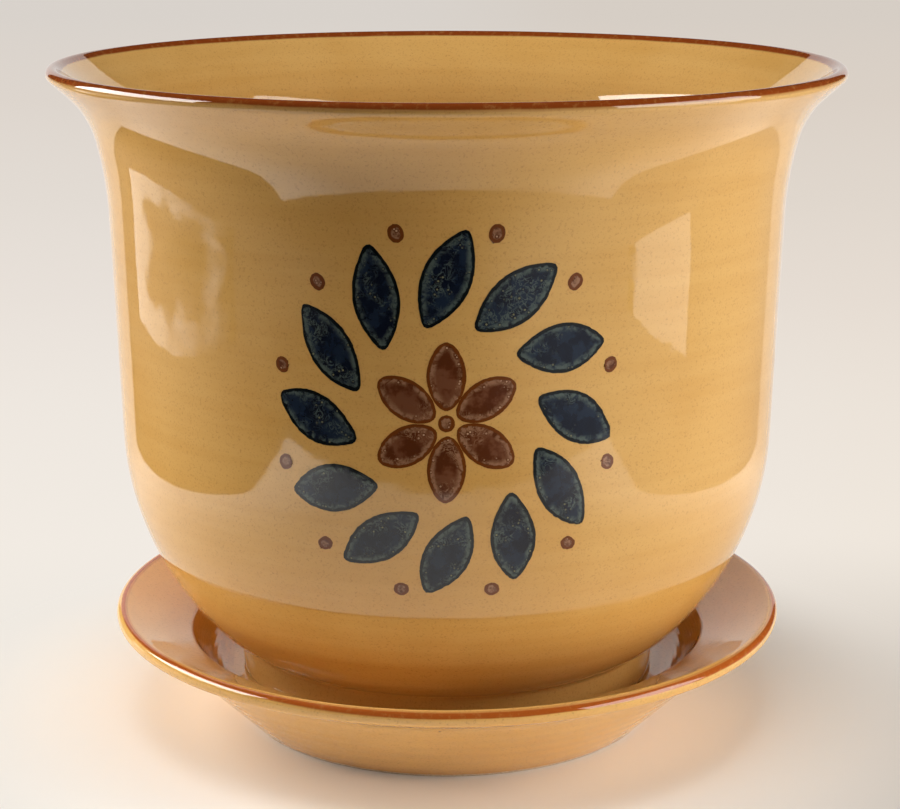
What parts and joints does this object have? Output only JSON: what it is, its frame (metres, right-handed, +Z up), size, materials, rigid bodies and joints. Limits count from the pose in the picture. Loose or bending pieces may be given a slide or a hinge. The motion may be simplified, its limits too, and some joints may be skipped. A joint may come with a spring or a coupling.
{
  "type": "flower pot with saucer",
  "caption": "Round glazed stoneware planter with a flared rim, a drain hole and a footed base, standing in the well of its own wide-rimmed drip saucer.",
  "frame": {"origin": "Centre of the saucer's foot ring, on the surface that the saucer stands on", "axes": "+Z up along the axis that both pieces are turned about, -Y towards the front, where the ornament is"},
  "size_m": [0.305, 0.305, 0.261],
  "materials": {
    "saucer_glaze": "glossy",
    "pot_glaze": "glossy"
  },
  "bodies": {
    "saucer": {"saucer": "saucer_glaze"},
    "pot": {"flower_pot": "pot_glaze"}
  },
  "joints": [
    {"name": "pot_lift", "type": "slide", "parent": "saucer", "child": "pot", "axis": [0, 0, 1], "range_m": [0, 0.12]}
  ]
}
